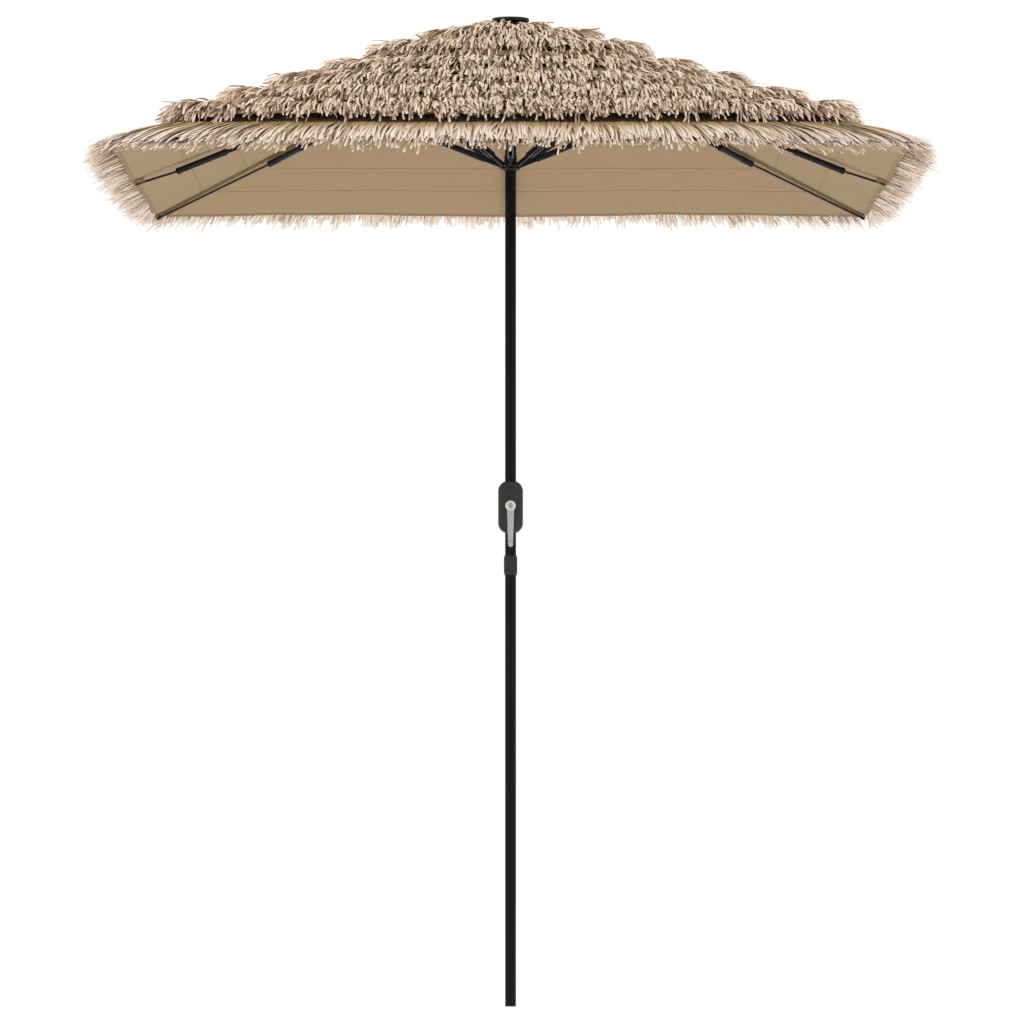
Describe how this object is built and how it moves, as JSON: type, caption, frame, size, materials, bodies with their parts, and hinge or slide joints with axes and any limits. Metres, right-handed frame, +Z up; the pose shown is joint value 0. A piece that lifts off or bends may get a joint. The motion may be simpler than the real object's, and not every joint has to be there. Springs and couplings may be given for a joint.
{
  "type": "beach umbrella",
  "caption": "Square thatched beach umbrella with a crank-lift pole, folding ribs, tan cloth canopy and tiers of raffia fringe.",
  "frame": {"origin": "middle of the pole's foot, on the underside of the foot plug", "axes": "+Z up along the pole; -Y is the front, where the crank is; +X to the right as seen from the front"},
  "size_m": [2.007, 2.007, 2.42],
  "materials": {
    "black_paint": "gloss",
    "black_plastic": "satin",
    "dark_grey_plastic": "satin",
    "silver_plastic": "satin",
    "bare_steel": "satin",
    "tan_cloth": "matte",
    "raffia": "matte",
    "cord": "matte"
  },
  "bodies": {
    "root": {"lower_pole": "black_paint", "upper_pole": "black_paint", "pole_collar": "dark_grey_plastic", "foot_plug": "black_plastic", "housing_front": "dark_grey_plastic", "housing_back": "dark_grey_plastic", "housing_screw_left": "bare_steel", "housing_screw_right": "bare_steel", "top_hub": "black_plastic", "hub_ring": "bare_steel", "pulley_pin": "bare_steel", "lift_cord": "cord", "top_cap": "black_plastic"},
    "rib_back": {"rib_bar_back": "black_paint", "rib_rod_back": "black_plastic", "canopy_cloth_back": "tan_cloth", "raffia_back": "raffia"},
    "strut_arm_back": {"strut_back": "black_paint"},
    "rib_right": {"rib_bar_right": "black_paint", "rib_rod_right": "black_plastic", "canopy_cloth_right": "tan_cloth", "raffia_right": "raffia"},
    "strut_arm_right": {"strut_right": "black_paint"},
    "rib_back_right": {"rib_bar_back_right": "black_paint", "rib_rod_back_right": "black_plastic", "canopy_cloth_back_right": "tan_cloth", "raffia_back_right": "raffia"},
    "strut_arm_back_right": {"strut_back_right": "black_paint"},
    "rib_back_left": {"rib_bar_back_left": "black_paint", "rib_rod_back_left": "black_plastic", "canopy_cloth_back_left": "tan_cloth", "raffia_back_left": "raffia"},
    "strut_arm_back_left": {"strut_back_left": "black_paint"},
    "rib_left": {"rib_bar_left": "black_paint", "rib_rod_left": "black_plastic", "canopy_cloth_left": "tan_cloth", "raffia_left": "raffia"},
    "strut_arm_left": {"strut_left": "black_paint"},
    "rib_front_left": {"rib_bar_front_left": "black_paint", "rib_rod_front_left": "black_plastic", "canopy_cloth_front_left": "tan_cloth", "raffia_front_left": "raffia"},
    "strut_arm_front_left": {"strut_front_left": "black_paint"},
    "rib_front": {"rib_bar_front": "black_paint", "rib_rod_front": "black_plastic", "canopy_cloth_front": "tan_cloth", "raffia_front": "raffia"},
    "strut_arm_front": {"strut_front": "black_paint"},
    "rib_front_right": {"rib_bar_front_right": "black_paint", "rib_rod_front_right": "black_plastic", "canopy_cloth_front_right": "tan_cloth", "raffia_front_right": "raffia"},
    "strut_arm_front_right": {"strut_front_right": "black_paint"},
    "runner": {"runner": "black_plastic", "runner_ring": "bare_steel"},
    "crank": {"winding_spool": "black_plastic", "crank_shaft": "bare_steel", "crank_handle": "silver_plastic"},
    "knob": {"crank_knob": "silver_plastic"},
    "pulley_wheel": {"pulley": "black_plastic"}
  },
  "joints": [
    {"name": "canopy_fold", "type": "hinge", "parent": "root", "child": "rib_back", "pos_m": [0, 0.021, 2.364], "axis": [-1, 0, 0], "range_deg": [0, 64.7], "deforming": ["canopy_cloth_back", "raffia_back"]},
    {"name": "strut_fold_back", "type": "hinge", "parent": "rib_back", "child": "strut_arm_back", "pos_m": [0, 0.4035, 2.211], "axis": [-1, 0, 0], "range_deg": [-129.4, 0]},
    {"name": "rib_fold_right", "type": "hinge", "parent": "root", "child": "rib_right", "pos_m": [0.021, 0, 2.364], "axis": [0, 1, 0], "range_deg": [0, 64.7], "deforming": ["canopy_cloth_right", "raffia_right"]},
    {"name": "strut_fold_right", "type": "hinge", "parent": "rib_right", "child": "strut_arm_right", "pos_m": [0.4035, 0, 2.211], "axis": [0, 1, 0], "range_deg": [-129.4, 0]},
    {"name": "rib_fold_back_right", "type": "hinge", "parent": "root", "child": "rib_back_right", "pos_m": [0.01485, 0.01485, 2.364], "axis": [-0.7071, 0.7071, 0], "range_deg": [0, 70.81], "deforming": ["canopy_cloth_back_right", "raffia_back_right"]},
    {"name": "strut_fold_back_right", "type": "hinge", "parent": "rib_back_right", "child": "strut_arm_back_right", "pos_m": [0.28356, 0.28356, 2.25721], "axis": [-0.7071, 0.7071, 0], "range_deg": [-129.93, 0]},
    {"name": "rib_fold_back_left", "type": "hinge", "parent": "root", "child": "rib_back_left", "pos_m": [-0.01485, 0.01485, 2.364], "axis": [-0.7071, -0.7071, 0], "range_deg": [0, 70.81], "deforming": ["canopy_cloth_back_left", "raffia_back_left"]},
    {"name": "strut_fold_back_left", "type": "hinge", "parent": "rib_back_left", "child": "strut_arm_back_left", "pos_m": [-0.28356, 0.28356, 2.25721], "axis": [-0.7071, -0.7071, 0], "range_deg": [-129.93, 0]},
    {"name": "rib_fold_left", "type": "hinge", "parent": "root", "child": "rib_left", "pos_m": [-0.021, 0, 2.364], "axis": [0, -1, 0], "range_deg": [0, 64.7], "deforming": ["canopy_cloth_left", "raffia_left"]},
    {"name": "strut_fold_left", "type": "hinge", "parent": "rib_left", "child": "strut_arm_left", "pos_m": [-0.4035, 0, 2.211], "axis": [0, -1, 0], "range_deg": [-129.4, 0]},
    {"name": "rib_fold_front_left", "type": "hinge", "parent": "root", "child": "rib_front_left", "pos_m": [-0.01485, -0.01485, 2.364], "axis": [0.7071, -0.7071, 0], "range_deg": [0, 70.81], "deforming": ["canopy_cloth_front_left", "raffia_front_left"]},
    {"name": "strut_fold_front_left", "type": "hinge", "parent": "rib_front_left", "child": "strut_arm_front_left", "pos_m": [-0.28356, -0.28356, 2.25721], "axis": [0.7071, -0.7071, 0], "range_deg": [-129.93, 0]},
    {"name": "rib_fold_front", "type": "hinge", "parent": "root", "child": "rib_front", "pos_m": [0, -0.021, 2.364], "axis": [1, 0, 0], "range_deg": [0, 64.7], "deforming": ["canopy_cloth_front", "raffia_front"]},
    {"name": "strut_fold_front", "type": "hinge", "parent": "rib_front", "child": "strut_arm_front", "pos_m": [0, -0.4035, 2.211], "axis": [1, 0, 0], "range_deg": [-129.4, 0]},
    {"name": "rib_fold_front_right", "type": "hinge", "parent": "root", "child": "rib_front_right", "pos_m": [0.01485, -0.01485, 2.364], "axis": [0.7071, 0.7071, 0], "range_deg": [0, 70.81], "deforming": ["canopy_cloth_front_right", "raffia_front_right"]},
    {"name": "strut_fold_front_right", "type": "hinge", "parent": "rib_front_right", "child": "strut_arm_front_right", "pos_m": [0.28356, -0.28356, 2.25721], "axis": [0.7071, 0.7071, 0], "range_deg": [-129.93, 0]},
    {"name": "runner_pivot", "type": "hinge", "parent": "strut_arm_back", "child": "runner", "pos_m": [0, 0.021, 2.058], "axis": [-1, 0, 0], "range_deg": [0, 64.7]},
    {"name": "crank_turn", "type": "hinge", "parent": "root", "child": "crank", "pos_m": [0, -0.04, 1.225], "axis": [0, -1, 0], "range_deg": [0, 3240]},
    {"name": "knob_spin", "type": "hinge", "parent": "crank", "child": "knob", "pos_m": [0, -0.06, 1.13], "axis": [0, -1, 0], "continuous": true},
    {"name": "pulley_spin", "type": "hinge", "parent": "root", "child": "pulley_wheel", "pos_m": [-0.00134, 0.00323, 2.315], "axis": [-0.9239, -0.3827, 0], "range_deg": [0, 2465.6]}
  ],
  "couplings": [
    {"joint": "strut_fold_back", "follows": "canopy_fold", "ratio": -2},
    {"joint": "rib_fold_right", "follows": "canopy_fold", "ratio": 1},
    {"joint": "strut_fold_right", "follows": "canopy_fold", "ratio": -2},
    {"joint": "rib_fold_back_right", "follows": "canopy_fold", "ratio": 1.0944},
    {"joint": "strut_fold_back_right", "follows": "canopy_fold", "ratio": -2.0081},
    {"joint": "rib_fold_back_left", "follows": "canopy_fold", "ratio": 1.0944},
    {"joint": "strut_fold_back_left", "follows": "canopy_fold", "ratio": -2.0081},
    {"joint": "rib_fold_left", "follows": "canopy_fold", "ratio": 1},
    {"joint": "strut_fold_left", "follows": "canopy_fold", "ratio": -2},
    {"joint": "rib_fold_front_left", "follows": "canopy_fold", "ratio": 1.0944},
    {"joint": "strut_fold_front_left", "follows": "canopy_fold", "ratio": -2.0081},
    {"joint": "rib_fold_front", "follows": "canopy_fold", "ratio": 1},
    {"joint": "strut_fold_front", "follows": "canopy_fold", "ratio": -2},
    {"joint": "rib_fold_front_right", "follows": "canopy_fold", "ratio": 1.0944},
    {"joint": "strut_fold_front_right", "follows": "canopy_fold", "ratio": -2.0081},
    {"joint": "runner_pivot", "follows": "canopy_fold", "ratio": 1},
    {"joint": "crank_turn", "follows": "canopy_fold", "ratio": 50.078},
    {"joint": "pulley_spin", "follows": "canopy_fold", "ratio": 38.109}
  ]
}
